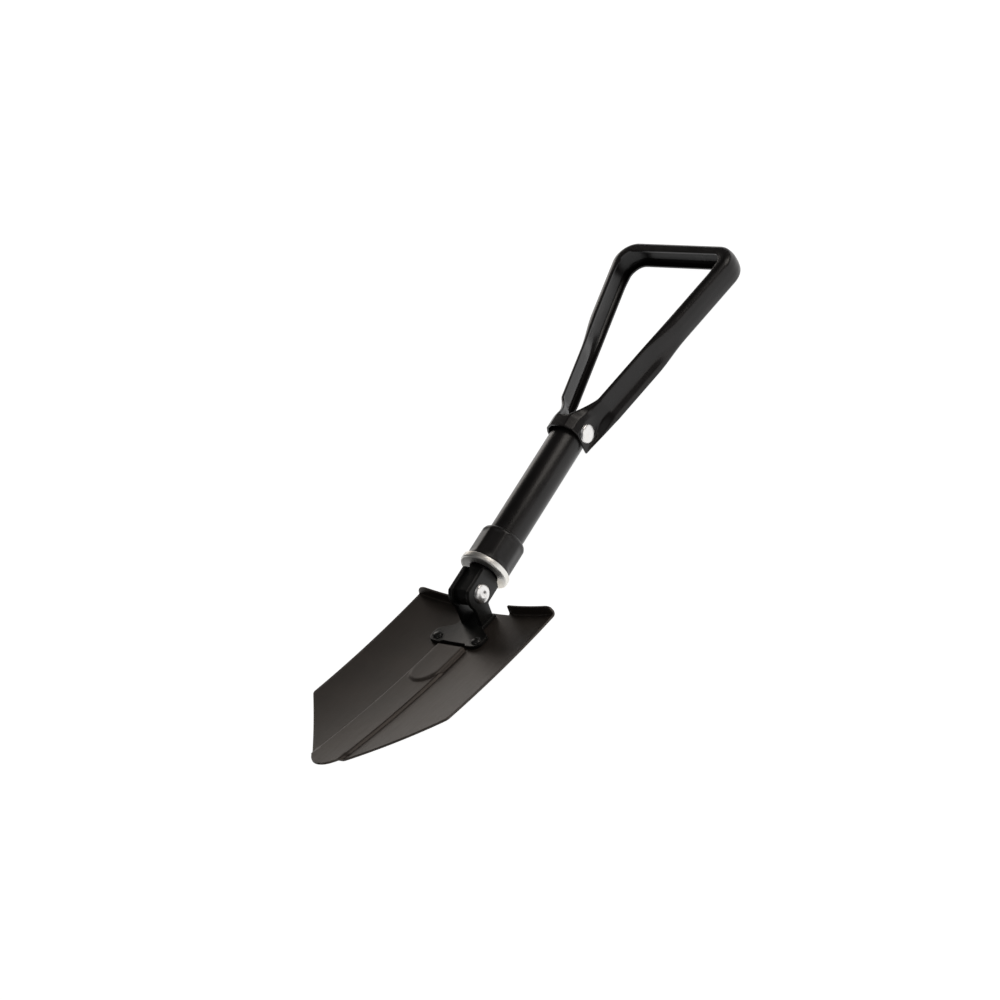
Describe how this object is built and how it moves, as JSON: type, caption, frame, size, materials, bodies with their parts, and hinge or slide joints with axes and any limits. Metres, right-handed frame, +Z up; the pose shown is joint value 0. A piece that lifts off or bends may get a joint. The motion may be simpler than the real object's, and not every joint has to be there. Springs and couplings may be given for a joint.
{
  "type": "camp shovel",
  "caption": "Folding camp shovel: dished pointed blade with foot steps, short steel tube with a screw lock, and a folding triangular handle.",
  "frame": {"origin": "on the ground plane under the middle of the bounding box, with the shovel lying on its back", "axes": "+X across the blade, +Y from the blade's point towards the grip, +Z up, out of the blade's dished face"},
  "size_m": [0.1504, 0.5736, 0.078],
  "materials": {
    "blade_black": "satin brown-black coating",
    "bracket_black": "satin black coating",
    "knuckle_black": "satin black coating",
    "tube_black": "semi-gloss black powder coat",
    "nut_black": "satin black coating, fluted",
    "plug_black": "matt black",
    "ring_zinc": "bright zinc plating",
    "rivet_steel": "bright nickel-plated steel"
  },
  "bodies": {
    "shaft": {"shaft_tube": "tube_black", "shaft_knuckle": "knuckle_black", "knuckle_cross_pin": "rivet_steel", "threaded_sleeve": "knuckle_black", "tube_end_plug": "plug_black", "blade_pivot_rivet": "rivet_steel", "handle_pivot_rivet": "rivet_steel"},
    "blade": {"blade": "blade_black", "blade_bracket": "bracket_black", "foot_rivet_left": "bracket_black", "foot_rivet_right": "bracket_black"},
    "handle": {"handle": "tube_black"},
    "ring": {"pressure_ring": "ring_zinc"},
    "nut": {"locking_nut": "nut_black"}
  },
  "joints": [
    {"name": "blade_fold", "type": "hinge", "parent": "shaft", "child": "blade", "pos_m": [0, -0.08838, 0.0284], "axis": [-1, 0, 0], "range_deg": [0, 162]},
    {"name": "handle_fold", "type": "hinge", "parent": "shaft", "child": "handle", "pos_m": [0, 0.08145, 0.02084], "axis": [-1, 0, 0], "range_deg": [0, 165]},
    {"name": "ring_slide", "type": "slide", "parent": "shaft", "child": "ring", "axis": [0, 0.999, -0.0445], "range_m": [0, 0.00584]},
    {"name": "nut_turn", "type": "hinge", "parent": "ring", "child": "nut", "pos_m": [0, -0.06211, 0.02723], "axis": [0, 0.999, -0.0445], "range_deg": [0, 600]}
  ],
  "couplings": [
    {"joint": "ring_slide", "follows": "nut_turn", "m_per_rad": 0.00055704}
  ]
}
